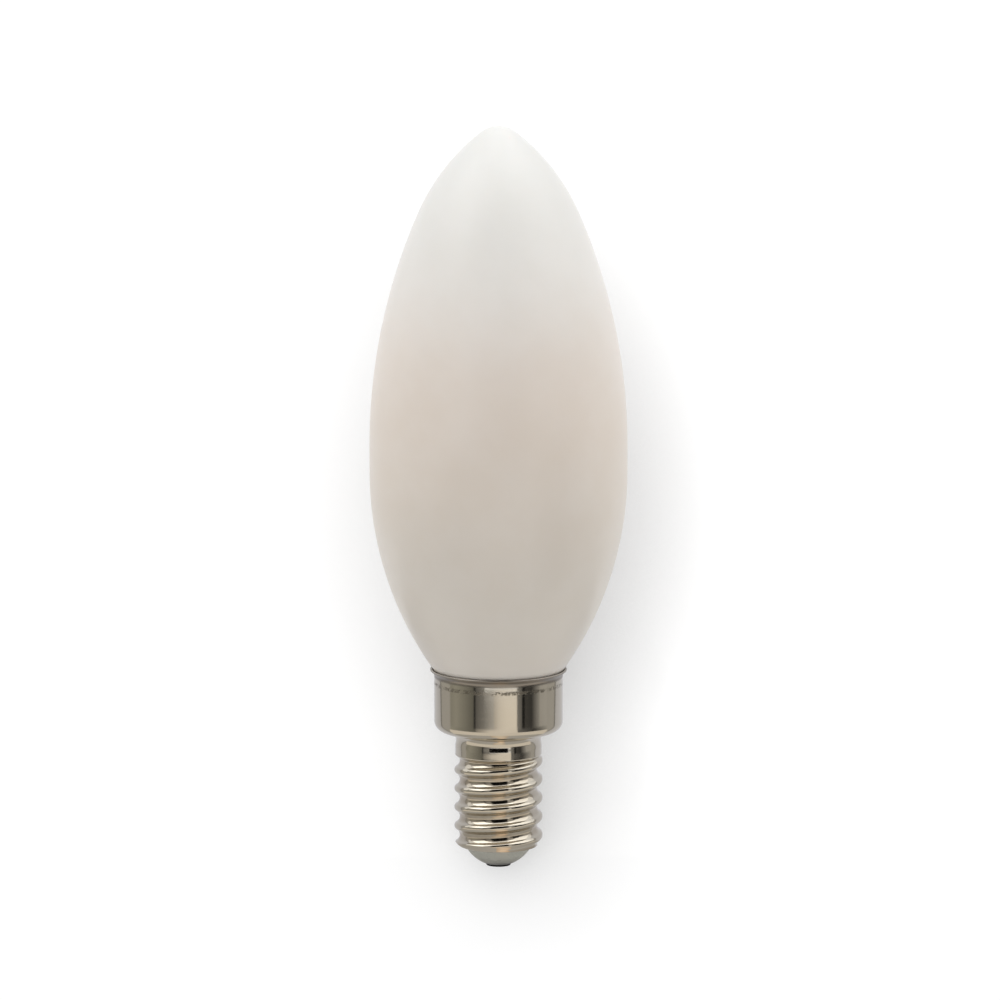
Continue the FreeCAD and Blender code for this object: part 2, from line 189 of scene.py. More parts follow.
def glass_outline():
    """The bulb's outline from the middle of its foot, up the flank, to the tip."""
    lower_flank, upper_flank = flank_curves()
    below, above = np.array([GLASS_RADIUS, BELT_BOTTOM]), np.array([GLASS_RADIUS, BELT_TOP])
    lower = below - [lower_flank, 0]
    upper = above - [upper_flank, 0]
    tip = np.array([0, TIP_HEIGHT - TIP])
    span = tip - upper
    to_shoulder, tip_to_shoulder = upper_flank - SHOULDER, SHOULDER - TIP
    length = np.linalg.norm(span)
    cosine = (to_shoulder ** 2 + length ** 2 - tip_to_shoulder ** 2) / (2 * to_shoulder * length)
    heading = math.atan2(span[1], span[0]) - math.acos(cosine)
    shoulder = upper + to_shoulder * np.array([math.cos(heading), math.sin(heading)])
    blend = np.array([NECK_RADIUS + NECK_BLEND, NECK_TOP])
    on_flank = lower + unit(blend - lower) * lower_flank
    on_shoulder = shoulder + unit(shoulder - upper) * SHOULDER
    on_tip = shoulder + unit(tip - shoulder) * SHOULDER
    neck_edge = np.array([NECK_RADIUS - NECK_EDGE, SEAT_HEIGHT + NECK_EDGE])
    foot = divided([np.array([0.0, SEAT_HEIGHT]), neck_edge - [0, NECK_EDGE]], FOOT_RUN)
    edge = arc_points(neck_edge, foot[-1], neck_edge + [NECK_EDGE, 0])
    chain = [
        arc_points(blend, np.array([NECK_RADIUS, blend[1]]), on_flank),
        arc_points(lower, on_flank, below, GLASS_STEP),
        divided([below, above], BELT_RUN),
        arc_points(upper, above, on_shoulder, GLASS_STEP),
        arc_points(shoulder, on_shoulder, on_tip, SHOULDER_STEP),
        arc_points(tip, on_tip, np.array([0, TIP_HEIGHT]), TIP_STEP),
    ]
    outline = foot + edge[1:] + divided([edge[-1], chain[0][0]], NECK_RUN)[1:]
    for arc in chain:
        outline += arc[1:]
    outline[-1] = np.array([0.0, TIP_HEIGHT])
    return outline


bulb_outline = glass_outline()
glass = lathe("opal_bulb", bulb_outline)

# %% [markdown]
# ## The screw cap
#
# The cap starts as a cup drawn from flat sheet, with a rounded foot, a plain neck, a wide collar
# and a mouth that is flared to take the glass. Its section is the same 0.3 mm sheet all the way,
# so the inner corners are the outer ones moved in by the sheet's thickness. The outer face and the
# inner one are kept as two outlines, because the thread will be pressed into both.

# %% Draw the cup
SHEET = 0.3
FOOT, LIP, FOOT_BEND, LIP_SOFT = 2.63, 4.62, 1.15, 0.1
CREST, THREAD_TOP = 5.93, 14.8
NECK_FOOT, NECK, NECK_START, NECK_SOFT = 5.79, 5.7, 15.35, 0.3
SWELL_FROM, SWELL_TO, SWELL_BEND = 16.45, 16.95, 1.5
FLOOR, NECK_BEND = 18.4, 1.3
COLLAR, COLLAR_BEND = 8.6, 1.35
BAND_BOTTOM, BAND_TOP, BAND_PROUD, BAND_SLOPE, BAND_SOFT = 24.85, 25.75, 0.004, 0.15, 0.3
MOUTH_CORNER, MOUTH_BEND, MOUTH_REACH, MOUTH_RISE = 26.2, 0.7, 0.6, 0.46
MOUTH_SOFT = 0.4        # the share of the sheet that rounds the mouth's edge
THREAD_STEP, INNER_STEP, CUP_STEP = 0.09, 0.28, 0.6


def mouth(depth):
    """The flared mouth's bend and end, on a face that lies depth inside the sheet."""
    slant = math.hypot(MOUTH_REACH, MOUTH_RISE)
    half_turn = (slant - MOUTH_RISE) / MOUTH_REACH
    end_radius = COLLAR + MOUTH_REACH - depth * MOUTH_RISE / slant
    end_height = MOUTH_CORNER + MOUTH_RISE + depth * MOUTH_REACH / slant
    bend = (COLLAR - depth, MOUTH_CORNER + depth * half_turn, MOUTH_BEND + depth)
    return [bend, (end_radius, end_height, SHEET * MOUTH_SOFT)]


def band(depth):
    """The faint band under the mouth, as four soft corners."""
    wall = COLLAR - depth
    return [
        (wall, BAND_BOTTOM, BAND_SOFT),
        (wall + BAND_PROUD, BAND_BOTTOM + BAND_SLOPE, BAND_SOFT / 2),
        (wall + BAND_PROUD, BAND_TOP - BAND_SLOPE, BAND_SOFT / 2),
        (wall, BAND_TOP, BAND_SOFT),
    ]


def face_of_sheet(depth, step):
    """One face of the cup from the middle of its foot's edge to the middle of its mouth's edge."""
    foot, floor, half = FOOT + depth, FLOOR + depth, SHEET / 2
    rim = (np.array(mouth(0.0)[-1][:2]) + np.array(mouth(SHEET)[-1][:2])) / 2
    corners = [
        (LIP, FOOT + half), (LIP, foot, LIP_SOFT),
        (CREST - depth, foot, FOOT_BEND - depth), (CREST - depth, THREAD_TOP, NECK_SOFT),
        (NECK_FOOT - depth, NECK_START, NECK_SOFT), (NECK_FOOT - depth, SWELL_FROM, SWELL_BEND),
        (NECK - depth, SWELL_TO, SWELL_BEND), (NECK - depth, floor, NECK_BEND + depth),
        (COLLAR - depth, floor, COLLAR_BEND - depth), *band(depth), *mouth(depth), tuple(rim),
    ]
    return divided(divided(rounded(corners), step, below=NECK_START), CUP_STEP)


outer_face = face_of_sheet(0.0, THREAD_STEP)
inner_face = face_of_sheet(SHEET, INNER_STEP)
cup_section = outer_face + inner_face[-2:0:-1]
cup = lathe("drawn_cup", cup_section, closed=True)

# %% [markdown]
# ## Rolling the thread
#
# On the real cap the thread is rolled: a wheel presses the sheet in along a helix while the cup
# turns. So it isn't modelled as a coil round a tube. The cup's own points are moved in by a rule
# instead, which is what Geometry Nodes is good at. A point's height and its angle round the axis
# say how far it is from the nearest crest. Two arcs, a tighter one for the crest and a larger one
# for the groove, turn that distance into a depth.
#
# The rule has two limits. Near the foot the cup is already narrower than the groove, so the smaller
# of the two radii is kept, with a little softness. Near the neck the wheel lifted off, so the depth
# fades out over a short height. The inner face takes the same rule, one sheet thickness further in,
# and an attribute on the points says which face they belong to.

# %% Mark the inner face
inside = cup.data.attributes.new("inside", "FLOAT", "POINT")
inside_rings = np.zeros(len(cup_section))
inside_rings[len(outer_face) - 1:] = 1.0
inside.data.foreach_set("value", np.repeat(inside_rings, AROUND))


# %% A helper that adds nodes
class NodeMaker:
    """Adds nodes to a tree. A value that is a socket is linked, and any other value is set."""

    def __init__(self, tree):
        self.tree = tree

    def add(self, kind, inputs=None, **settings):
        node = self.tree.nodes.new(kind)
        for name, value in settings.items():
            setattr(node, name, value)
        for key, value in (inputs or {}).items():
            if isinstance(value, bpy.types.NodeSocket):
                self.tree.links.new(value, node.inputs[key])
            else:
                node.inputs[key].default_value = value
        return node

    def calc(self, operation, *values):
        """The result of a Math node."""
        return self.add("ShaderNodeMath", dict(enumerate(values)), operation=operation).outputs[0]

    def blend_range(self, value, start, end, low=0.0, high=1.0):
        """low below start, high above end, and a smooth change between them."""
        node = self.add("ShaderNodeMapRange", {
            "Value": value, "From Min": start, "From Max": end, "To Min": low, "To Max": high,
        }, interpolation_type="SMOOTHSTEP")
        return node.outputs["Result"]


# %% The thread's rule as a node tree
def new_tree(name, kind, inputs, outputs):
    """A node group with its sockets, and the nodes that lead in and out of it."""
    tree = bpy.data.node_groups.new(name, kind)
    for socket_name, socket_type, value in inputs:
        socket = tree.interface.new_socket(socket_name, in_out="INPUT", socket_type=socket_type)
        if value is not None:
            socket.default_value = value
    for socket_name, socket_type in outputs:
        tree.interface.new_socket(socket_name, in_out="OUTPUT", socket_type=socket_type)
    way_in, way_out = tree.nodes.new("NodeGroupInput"), tree.nodes.new("NodeGroupOutput")
    return tree, way_in.outputs, way_out.inputs


def thread_tree():
    sizes = [
        ("Pitch", 2.54), ("Crest Radius", CREST), ("Depth", 0.73), ("Crest Height", 14.3),
        ("Crest Share", 0.38), ("Fade From", 14.7), ("Fade To", NECK_START), ("Sheet", SHEET),
        ("Softness", 0.1),
    ]
    tree, given, result = new_tree(
        "roll_thread", "GeometryNodeTree",
        [("Geometry", "NodeSocketGeometry", None)]
        + [(name, "NodeSocketFloat", value) for name, value in sizes]
        + [("Material", "NodeSocketMaterial", None)],
        [("Geometry", "NodeSocketGeometry")],
    )
    make = NodeMaker(tree)
    calc = make.calc
    place = make.add("GeometryNodeInputPosition").outputs[0]
    in_mm = make.add("ShaderNodeVectorMath", {"Vector": place, "Scale": 1 / MM}, operation="SCALE")
    x, y, z = make.add("ShaderNodeSeparateXYZ", {0: in_mm.outputs[0]}).outputs
    radius = calc("SQRT", calc("ADD", calc("MULTIPLY", x, x), calc("MULTIPLY", y, y)))
    turned = calc("DIVIDE", calc("ARCTAN2", y, x), 2 * math.pi)

    # the distance from the nearest crest, from 0 on it to half a pitch in the groove's middle
    climbed = calc("DIVIDE", calc("SUBTRACT", z, given["Crest Height"]), given["Pitch"])
    nearest = calc("PINGPONG", calc("SUBTRACT", climbed, turned), 0.5)
    away = calc("MULTIPLY", nearest, given["Pitch"])

    # each arc is as deep as it is wide, and they meet with one slope
    half = calc("DIVIDE", given["Pitch"], 2)
    crest_half = calc("MULTIPLY", half, given["Crest Share"])
    in_groove = calc("GREATER_THAN", away, crest_half)
    groove_more = calc("SUBTRACT", half, calc("MULTIPLY", crest_half, 2))
    wide = calc("ADD", crest_half, calc("MULTIPLY", in_groove, groove_more))
    tall = calc("DIVIDE", calc("MULTIPLY", given["Depth"], wide), half)
    squares = calc("ADD", calc("POWER", wide, 2), calc("POWER", tall, 2))
    bend = calc("DIVIDE", squares, calc("MULTIPLY", tall, 2))
    reach = calc("SUBTRACT", away, calc("MULTIPLY", in_groove, half))
    upright = calc("SUBTRACT", calc("POWER", bend, 2), calc("MULTIPLY", reach, reach))
    drop = calc("SUBTRACT", bend, calc("SQRT", upright))
    depth = calc("ABSOLUTE", calc("SUBTRACT", drop, calc("MULTIPLY", in_groove, given["Depth"])))

    # the rolled face, one sheet further in on the inner side, limited at the foot and the neck
    is_inside = make.add(
        "GeometryNodeInputNamedAttribute", {"Name": "inside"}, data_type="FLOAT",
    ).outputs[0]
    outer = calc("SUBTRACT", given["Crest Radius"], depth)
    rolled = calc("SUBTRACT", outer, calc("MULTIPLY", is_inside, given["Sheet"]))
    kept = calc("SMOOTH_MIN", radius, rolled, given["Softness"])
    pressed = make.blend_range(z, given["Fade From"], given["Fade To"], 1.0, 0.0)
    new_radius = calc("ADD", radius, calc("MULTIPLY", pressed, calc("SUBTRACT", kept, radius)))
    share = calc("DIVIDE", new_radius, radius)
    moved = make.add("ShaderNodeVectorMath", {
        0: place, 1: make.add("ShaderNodeCombineXYZ", {0: share, 1: share, 2: 1.0}).outputs[0],
    }, operation="MULTIPLY")
    shaped = make.add("GeometryNodeSetPosition", {
        "Geometry": given["Geometry"], "Position": moved.outputs[0],
    })
    real = make.add("GeometryNodeRealizeInstances", {"Geometry": shaped.outputs[0]})
    dressed = make.add("GeometryNodeSetMaterial", {
        "Geometry": real.outputs[0], "Material": given["Material"],
    })
    tree.links.new(dressed.outputs[0], result["Geometry"])
    print("the thread's rule has", len(tree.nodes), "nodes")
    return tree


roll_thread = thread_tree()


# %% Run a tree and keep its result as a plain mesh
def applied(source, tree, name, values):
    """A new plain object with the tree's result for one source object."""
    modifier = source.modifiers.new(tree.name, "NODES")
    modifier.node_group = tree
    sockets = {
        item.name: item.identifier
        for item in tree.interface.items_tree if item.in_out == "INPUT"
    }
    for label, value in values.items():
        modifier[sockets[label]] = value
    evaluated = source.evaluated_get(bpy.context.evaluated_depsgraph_get())
    mesh = bpy.data.meshes.new_from_object(evaluated)
    source.modifiers.remove(modifier)
    bpy.data.objects.remove(source)
    mesh.name = name
    piece = bpy.data.objects.new(name, mesh)
    scene.collection.objects.link(piece)
    print(name, len(mesh.vertices), "vertices")
    return piece


nickel = bpy.data.materials.new("bright_nickel")
cap = applied(cup, roll_thread, "screw_cap", {"Material": nickel})
cap.data.shade_smooth()

# %% [markdown]
# ## The button and the contact
#
# The button is a moulded plug. Below the cap's turned-in foot it shows a shallow dome, part of a
# ball of 5 mm radius, and inside the cap a flange rests on the foot. The contact is a rivet: a flat
# head in the middle of the dome, and a shank that goes up through the button. Both are lathe work
# again, and the hidden parts are kept, because a library part may be cut open later.

# %% Turn the button and the contact
HEAD, HEAD_HEIGHT, HEAD_EDGE, HEAD_LEDGE, HEAD_SOFT = 1.64, 0.25, 0.1, 0.06, 0.03
SHANK, SHANK_TOP, SHANK_CHAMFER, SHANK_PLAY = 0.75, 5.4, 0.2, 0.03
DOME, BUTTON, FLANGE, BUTTON_TOP = 5.0, 4.52, 4.8, 4.5
SMALL_AROUND = 128
DOME_STEP, CONTACT_STEP = math.radians(2), 0.6

ledge = HEAD + HEAD_LEDGE
ball = np.array([0.0, HEAD_HEIGHT + math.sqrt(DOME ** 2 - ledge ** 2)])
dome_foot = np.array([ledge, HEAD_HEIGHT])
dome_top = np.array([BUTTON, ball[1] - math.sqrt(DOME ** 2 - BUTTON ** 2)])
button_outline = arc_points(ball, dome_foot, dome_top, DOME_STEP) + [
    np.array(corner) for corner in (
        (BUTTON, FOOT + SHEET), (FLANGE, FOOT + SHEET), (FLANGE, BUTTON_TOP),
        (SHANK + SHANK_PLAY, BUTTON_TOP), (SHANK + SHANK_PLAY, HEAD_HEIGHT),
    )
]
button = lathe("moulded_button", button_outline, SMALL_AROUND, closed=True)

contact_outline = rounded([
    (0.0, 0.0), (HEAD, 0.0, HEAD_EDGE), (HEAD, HEAD_HEIGHT, HEAD_SOFT), (SHANK, HEAD_HEIGHT),
    (SHANK, SHANK_TOP - SHANK_CHAMFER), (SHANK - SHANK_CHAMFER, SHANK_TOP), (0.0, SHANK_TOP),
])
contact = lathe("riveted_contact", divided(contact_outline, CONTACT_STEP), SMALL_AROUND)

# %% [markdown]
# ## Effects that several finishes share
#
# Turned and drawn metal carries faint lines that run round it, and every old surface is a little
# cloudy. Both effects are used by more than one finish, so each is a node group that is built once.
# The groups read Object coordinates, which stay with the piece when it moves.

# %% Fine lines that run round a turned piece
def turned_lines_group():
    tree, given, result = new_tree(
        "turned_lines", "ShaderNodeTree",
        [("Lines per mm", "NodeSocketFloat", 6.0), ("Length", "NodeSocketFloat", 0.12),
         ("Amount", "NodeSocketFloat", 0.5)],
        [("Mask", "NodeSocketFloat"), ("Height", "NodeSocketFloat")],
    )
    make = NodeMaker(tree)
    calc = make.calc
    place = make.add("ShaderNodeTexCoord").outputs["Object"]
    up = calc("DIVIDE", given["Lines per mm"], MM)
    along = calc("DIVIDE", given["Length"], MM)
    stretch = make.add("ShaderNodeCombineXYZ", {0: along, 1: along, 2: up}).outputs[0]
    streaked = make.add("ShaderNodeVectorMath", {
        0: place, 1: stretch,
    }, operation="MULTIPLY").outputs[0]
    lines = make.add("ShaderNodeTexNoise", {
        "Vector": streaked, "Scale": 1.0, "Detail": 3.0, "Roughness": 0.62,
    }).outputs[0]
    patches = make.add("ShaderNodeTexNoise", {
        "Vector": place, "Scale": 0.35 / MM, "Detail": 2.0,
    }).outputs[0]
    thin = make.blend_range(lines, 0.52, 0.72)
    there = make.blend_range(patches, 0.38, 0.62)
    mask = calc("MULTIPLY", calc("MULTIPLY", thin, there), given["Amount"])
    tree.links.new(mask, result["Mask"])
    tree.links.new(calc("MULTIPLY", lines, given["Amount"]), result["Height"])
    return tree


# %% Cloudiness, from broad patches down to small specks
def clouding_group():
    tree, given, result = new_tree(
        "clouding", "ShaderNodeTree",
        [("Patch mm", "NodeSocketFloat", 5.0), ("Amount", "NodeSocketFloat", 1.0),
         ("Speck mm", "NodeSocketFloat", 0.4)],
        [("Shade", "NodeSocketFloat"), ("Specks", "NodeSocketFloat")],
    )
    make = NodeMaker(tree)
    calc = make.calc
    place = make.add("ShaderNodeTexCoord").outputs["Object"]
    broad = make.add("ShaderNodeTexNoise", {
        "Vector": place, "Scale": calc("DIVIDE", 1 / MM, given["Patch mm"]),
        "Detail": 4.0, "Roughness": 0.55,
    }).outputs[0]
    small = make.add("ShaderNodeTexNoise", {
        "Vector": place, "Scale": calc("DIVIDE", 1 / MM, given["Speck mm"]),
        "Detail": 2.0, "Roughness": 0.5,
    }).outputs[0]
    shade = make.blend_range(broad, 0.3, 0.7)
    tree.links.new(calc("MULTIPLY", shade, given["Amount"]), result["Shade"])
    specks = make.blend_range(small, 0.55, 0.75)
    tree.links.new(calc("MULTIPLY", specks, given["Amount"]), result["Specks"])
    return tree


turned_lines = turned_lines_group()
clouding = clouding_group()


# %% A helper that starts a finish
def finish_maker(material):
    """Empties a material's tree and gives it a Principled shader. Returns the maker and shader."""
    material.use_nodes = True
    material.node_tree.nodes.clear()
    make = NodeMaker(material.node_tree)
    shader = make.add("ShaderNodeBsdfPrincipled")
    make.add("ShaderNodeOutputMaterial", {"Surface": shader.outputs[0]})
    return make, shader


def feed(make, shader, **values):
    """Sets or links the shader's inputs. An underscore stands for a space in a name."""
    for name, value in values.items():
        socket = shader.inputs[name.replace("_", " ")]
        if isinstance(value, bpy.types.NodeSocket):
            make.tree.links.new(value, socket)
        else:
            socket.default_value = value


def height_mm(make):
    """A point's height above the contact, in millimetres."""
    place = make.add("ShaderNodeTexCoord").outputs["Object"]
    up = make.add("ShaderNodeSeparateXYZ", {0: place}).outputs[2]
    return make.calc("DIVIDE", up, MM)


def mixed(make, share, first, second):
    """A colour between two others."""
    node = make.add("ShaderNodeMix", {"Factor": share, "A": first, "B": second}, data_type="RGBA")
    return node.outputs["Result"]


# %% [markdown]
# ## The opal glass
#
# The glass is clear, with a white coating baked on its inside, so it looks like satin porcelain and
# shows nothing of what is in it. It could be made with real transmission and scattering, but that
# costs a lot of time for a coat that hides everything. An opaque satin surface with a little
# scattering under it does the same. Its colour is near white at the tip and turns darker and warmer
# towards the cap: that is painted shade, which stands in for light that falls from above.

# %% Opal finish
opal = bpy.data.materials.new("opal_coat")
make, shader = finish_maker(opal)
level = height_mm(make)
COAT_LENGTH = 100.0     # the coat's steps are shares of this height, in millimetres
# painted shade: the glass's colour darkens and warms from the tip down to the cap, as if lit from
# above
coat = make.add("ShaderNodeValToRGB", {"Fac": make.calc("DIVIDE", level, COAT_LENGTH)})
shade_gradient_steps = [
    (0.20, (0.665, 0.617, 0.560)), (0.36, (0.612, 0.574, 0.516)), (0.56, (0.705, 0.632, 0.558)),
    (0.70, (0.757, 0.684, 0.617)), (0.80, (0.803, 0.776, 0.738)), (0.92, (0.796, 0.787, 0.755)),
    (1.00, (0.848, 0.849, 0.831)),
]
ramp = coat.color_ramp
ramp.interpolation = "B_SPLINE"
for position, colour in shade_gradient_steps[2:]:
    ramp.elements.new(position)
for element, (position, colour) in zip(ramp.elements, shade_gradient_steps):
    element.position = position
    element.color = (*colour, 1.0)
clouds = make.add("ShaderNodeGroup", {"Patch mm": 9.0, "Speck mm": 0.22}, node_tree=clouding)
deeper = make.add("ShaderNodeHueSaturation", {
    "Color": coat.outputs[0], "Saturation": 1.12, "Value": 0.975, "Fac": clouds.outputs["Shade"],
})
feed(
    make, shader, Base_Color=deeper.outputs[0], IOR=1.5, Specular_IOR_Level=0.4,
    Roughness=make.blend_range(clouds.outputs["Specks"], 0.0, 1.0, 0.3, 0.38),
    Subsurface_Weight=0.12, Subsurface_Radius=(1.0, 0.85, 0.7), Subsurface_Scale=0.004,
)
grain = make.add("ShaderNodeBump", {
    "Height": clouds.outputs["Specks"], "Strength": 0.04, "Distance": 0.00002,
})
feed(make, shader, Normal=grain.outputs[0])
glass.data.materials.append(opal)
print("opal coat in", len(shade_gradient_steps), "steps of colour")

# %% [markdown]
# ## Nickel plate
#
# The cap is bright nickel, which is a mirror with a warm grey cast. Its look comes from what it
# reflects, so the colour is plain and most of the work is in the roughness: faint lines from the
# drawing die run round it, the band under the mouth is scuffed dark in patches, the flared mouth
# has lost its shine and is painted darker as painted shade under the glass, and the grooves keep a
# thin brownish grime where no cloth reaches, which also paints in the shade that falls in them.

# %% Nickel finish
CLEAN_PLATE, CLOUDED_PLATE = (0.6, 0.555, 0.475, 1), (0.545, 0.5, 0.42, 1)
GROOVE_GRIME_AND_SHADE, DARK_SCUFF = (0.42, 0.36, 0.28, 1), (0.17, 0.15, 0.12, 1)
DULL_SHADED_PLATE = (0.2, 0.18, 0.165, 1)
SCUFF_RISE, SCUFF_FALL = (-0.2, -0.05), (0.2, 0.5)      # heights from the band's lower edge
GROOVE_SHADE_FULL, GROOVE_SHADE_GONE, GROOVE_SHADE_FADE = 5.15, 5.6, 0.6        # two radii, and a height below the neck
MOUTH_FADE = 0.15

make, shader = finish_maker(nickel)
calc = make.calc
level = height_mm(make)
lines = make.add("ShaderNodeGroup", {
    "Lines per mm": 9.0, "Length": 0.1, "Amount": 0.8,
}, node_tree=turned_lines)
clouds = make.add("ShaderNodeGroup", {"Patch mm": 3.0, "Speck mm": 0.34}, node_tree=clouding)

on_band = calc(
    "MULTIPLY", make.blend_range(level, *(BAND_BOTTOM + way for way in SCUFF_RISE)),
    make.blend_range(level, *(BAND_BOTTOM + way for way in SCUFF_FALL), 1.0, 0.0),
)
place = make.add("ShaderNodeTexCoord").outputs["Object"]
rub_grain = make.add("ShaderNodeTexNoise", {
    "Vector": place, "Scale": 2.2 / MM, "Detail": 3.0, "Roughness": 0.65,
}).outputs[0]
rub_patches = make.add("ShaderNodeTexNoise", {
    "Vector": place, "Scale": 0.28 / MM, "Detail": 1.0,
}).outputs[0]
rubs = calc(
    "MULTIPLY", make.blend_range(rub_grain, 0.42, 0.56), make.blend_range(rub_patches, 0.25, 0.45),
)
rubbed = calc("MULTIPLY", on_band, rubs)

x, y, z = make.add("ShaderNodeSeparateXYZ", {0: place}).outputs
off_axis = calc("SQRT", calc("ADD", calc("MULTIPLY", x, x), calc("MULTIPLY", y, y)))
radius = calc("DIVIDE", off_axis, MM)
# the grooves below the neck: brownish grime together with painted shade that darkens the recess
low_down = calc(
    "MULTIPLY", make.blend_range(radius, GROOVE_SHADE_FULL, GROOVE_SHADE_GONE, 1.0, 0.0),
    make.blend_range(level, NECK_START - GROOVE_SHADE_FADE, NECK_START, 1.0, 0.0),
)
groove_grime_and_shade = calc("MULTIPLY", low_down, calc("ADD", 0.3, calc("MULTIPLY", clouds.outputs["Shade"], 0.5)))

clouded = calc("MULTIPLY", clouds.outputs["Shade"], 0.25)
plate = mixed(make, clouded, CLEAN_PLATE, CLOUDED_PLATE)
plate = mixed(make, groove_grime_and_shade, plate, GROOVE_GRIME_AND_SHADE)
plate = mixed(make, calc("MULTIPLY", rubbed, 0.8), plate, DARK_SCUFF)
# the flared mouth: a dull unpolished cut edge, and painted shade from the glass above it
dull_shaded_mouth = make.blend_range(level, BAND_TOP - MOUTH_FADE, BAND_TOP + MOUTH_FADE)
plate = mixed(make, calc("MULTIPLY", dull_shaded_mouth, 0.75), plate, DULL_SHADED_PLATE)
rough = calc("ADD", 0.09, calc("MULTIPLY", lines.outputs["Mask"], 0.12))
rough = calc("ADD", rough, calc("MULTIPLY", rubbed, 0.3))
rough = calc("ADD", rough, calc("MULTIPLY", groove_grime_and_shade, 0.05))
rough = calc("ADD", rough, calc("MULTIPLY", dull_shaded_mouth, 0.2))
drawn = make.add("ShaderNodeBump", {
    "Height": lines.outputs["Height"], "Strength": 0.12, "Distance": 0.00001,
})
worn = make.add("ShaderNodeBump", {
    "Height": rubbed, "Strength": 0.2, "Distance": 0.00002, "Normal": drawn.outputs[0],
})
feed(make, shader, Base_Color=plate, Metallic=1.0, Roughness=rough, Normal=worn.outputs[0])
print("nickel plate with", len(nickel.node_tree.nodes), "nodes")

# %% [markdown]
# ## The button's grey and the contact
#
# The button is a smooth moulded grey with a slight gloss. Towards the contact it is darker in
# patches, a painted shade for the little light that reaches the bottom of the dome, and a thin
# black ring of painted shade lies against the contact. The contact is painted near black, a painted
# shade for plated metal that lies in shade, with turned lines and a few paler specks.

# %% Button finish
CLEAN_GREY, SHADED_GREY = (0.45, 0.445, 0.39, 1), (0.23, 0.225, 0.19, 1)
SPECK_GREY, SHADE_RING_BLACK = (0.6, 0.6, 0.55, 1), (0.02, 0.02, 0.02, 1)
BUTTON_SHADE_FROM, BUTTON_SHADE_TO = 0.3, 1.7                 # heights above the contact's face
SHADE_RING_FULL, SHADE_RING_GONE = 0.3, 0.45              # heights above the top of its head

moulded = bpy.data.materials.new("moulded_grey")
make, shader = finish_maker(moulded)
calc = make.calc
clouds = make.add("ShaderNodeGroup", {"Patch mm": 1.6, "Speck mm": 0.16}, node_tree=clouding)
# painted shade: darker, in patches, towards the contact at the bottom of the dome, where less light
# falls
patchy_shade = make.blend_range(height_mm(make), BUTTON_SHADE_FROM, BUTTON_SHADE_TO, 0.75, 0.1)
blotches = calc("ADD", 0.6, calc("MULTIPLY", clouds.outputs["Shade"], 0.4))
patchy_shade = calc("MULTIPLY", patchy_shade, blotches)
grey = mixed(make, patchy_shade, CLEAN_GREY, SHADED_GREY)
grey = mixed(make, calc("MULTIPLY", clouds.outputs["Specks"], 0.15), grey, SPECK_GREY)
# painted shade: a thin black ring on the dome right against the contact
shade_ring = make.blend_range(
    height_mm(make), HEAD_HEIGHT + SHADE_RING_FULL, HEAD_HEIGHT + SHADE_RING_GONE, 1.0, 0.0,
)
grey = mixed(make, shade_ring, grey, SHADE_RING_BLACK)
pits = make.add("ShaderNodeBump", {
    "Height": clouds.outputs["Specks"], "Strength": 0.08, "Distance": 0.00002,
})
feed(
    make, shader, Base_Color=grey, Specular_IOR_Level=0.5, Normal=pits.outputs[0],
    Roughness=make.blend_range(clouds.outputs["Shade"], 0.0, 1.0, 0.24, 0.36),
)
button.data.materials.append(moulded)

# %% Contact finish
SHADE_BLACK_METAL, PATCHY_SHADE_METAL = (0.012, 0.012, 0.013, 1), (0.03, 0.028, 0.027, 1)
METAL_SPECK = (0.1, 0.095, 0.09, 1)

shaded_contact_finish = bpy.data.materials.new("shaded_contact")
make, shader = finish_maker(shaded_contact_finish)
calc = make.calc
lines = make.add("ShaderNodeGroup", node_tree=turned_lines)
clouds = make.add("ShaderNodeGroup", {"Patch mm": 0.9, "Speck mm": 0.12}, node_tree=clouding)
# painted shade: the contact's colour is near black, standing for plated metal that lies in shade
shaded_black = mixed(make, clouds.outputs["Shade"], SHADE_BLACK_METAL, PATCHY_SHADE_METAL)
shaded_black = mixed(make, calc("MULTIPLY", clouds.outputs["Specks"], 0.3), shaded_black, METAL_SPECK)
feed(
    make, shader, Base_Color=shaded_black, Metallic=0.6, Specular_IOR_Level=0.25,
    Roughness=calc("ADD", 0.4, calc("MULTIPLY", lines.outputs["Mask"], 0.2)),
)
contact.data.materials.append(shaded_contact_finish)

# %% [markdown]
# ## Joining the frame
#
# Each finished piece takes the place of one imported node, which is hidden. The bulb has no joint,
# so all of them ride on its one body.

# %% Hand the pieces over
for piece, node, slot in (
    (glass, "glass_envelope", "opal_glass"), (cap, "screw_shell", "plated_sheet"),
    (button, "insulator", "insulator_grey"), (contact, "centre_contact", "contact_metal"),
):
    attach(piece, "root")
    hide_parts(node)
print("four pieces ride on the bulb's body")

# %% [markdown]
# ## The paper
#
# A bulb can't stand on its contact. In the photo it seems to lie on white paper, on the flank of
# its glass and the foot of its cap, with the camera above it. The bulb keeps its own frame here,
# with its axis upright, so it is the paper that leans against the bulb's back. The angle at which
# it touches both the glass and the cap is found by halving a range.
#
# White paper under soft lamps comes out light grey, so white is added for the eye and for mirrors
# alone, which leaves the light on the bulb as it is. The paper darkens softly round the bulb, more
# to the right and below, because the bulb hides a part of the light there. An Ambient Occlusion
# node measures that part, with a normal that is turned towards the light. The paper is one-sided,
# so that from behind one still sees the bulb, and it takes no part in diffuse light, so that it
# leaves no dark patch on the back of the glass. A white reflector below the contact, which the
# camera doesn't see, sends light back up.

# %% Find how the paper leans
def reach_back(outline, lean):
    """How far a round piece reaches towards paper that leans by an angle, in millimetres."""
    return max(radius * math.cos(lean) - height * math.sin(lean) for radius, height in outline)


